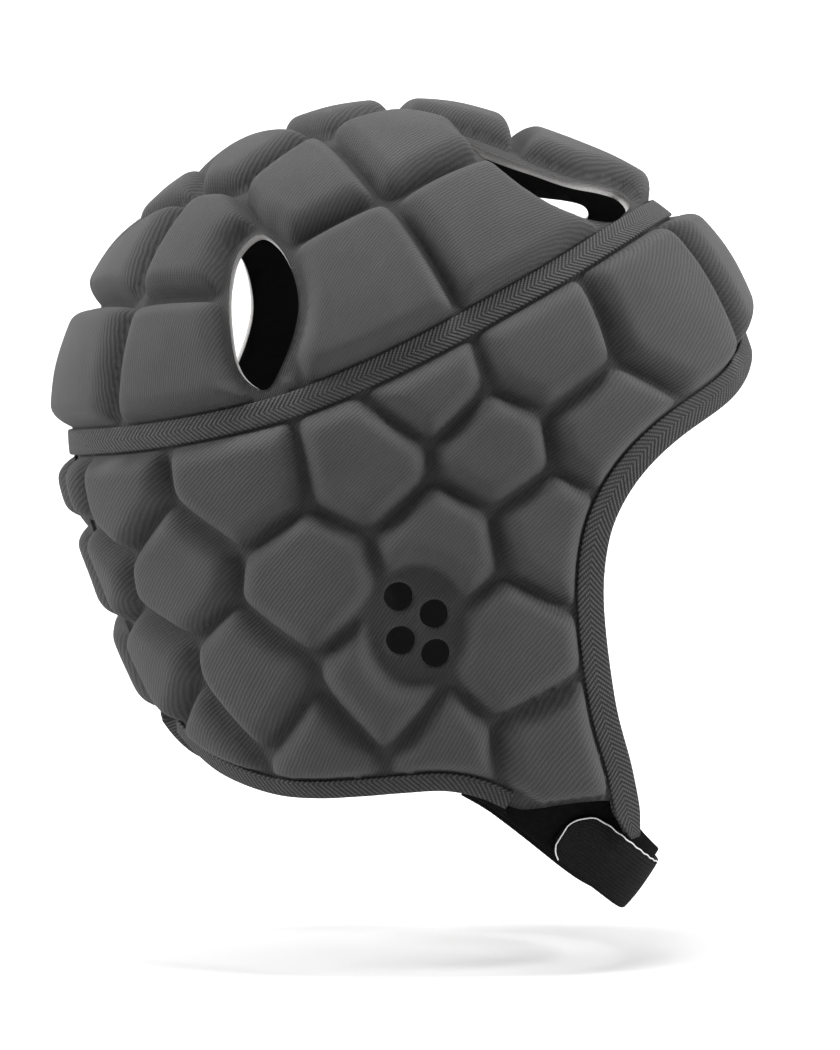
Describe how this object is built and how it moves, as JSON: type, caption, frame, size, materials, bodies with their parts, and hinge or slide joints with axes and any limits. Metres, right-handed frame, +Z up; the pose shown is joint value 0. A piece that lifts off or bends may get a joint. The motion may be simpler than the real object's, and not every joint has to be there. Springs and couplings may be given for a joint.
{
  "type": "rugby scrum cap",
  "caption": "Soft padded rugby headgear with moulded pads, crown and side vents, ear holes, a taped seam and a chin strap.",
  "frame": {"origin": "inside of the crown's top, where the cap rests on the head", "axes": "+Z up through the crown, -Y the way the wearer looks, -X to the wearer's right"},
  "size_m": [0.1738, 0.2195, 0.2538],
  "materials": {
    "padded_cloth": "fine ribbed knit over soft foam, mid grey, matt",
    "woven_tape": "woven tape with a fine herringbone, grey",
    "pale_mesh": "pale grey elastic knit",
    "fastener": "black brushed loop fastener, matt"
  },
  "bodies": {
    "root": {"crown": "padded_cloth", "side_panel": "padded_cloth", "seam_tape": "woven_tape", "face_binding": "woven_tape", "neck_binding_right": "woven_tape", "neck_binding_left": "woven_tape", "back_gusset": "pale_mesh", "chin_tab": "fastener", "chin_strap": "fastener"}
  },
  "joints": []
}
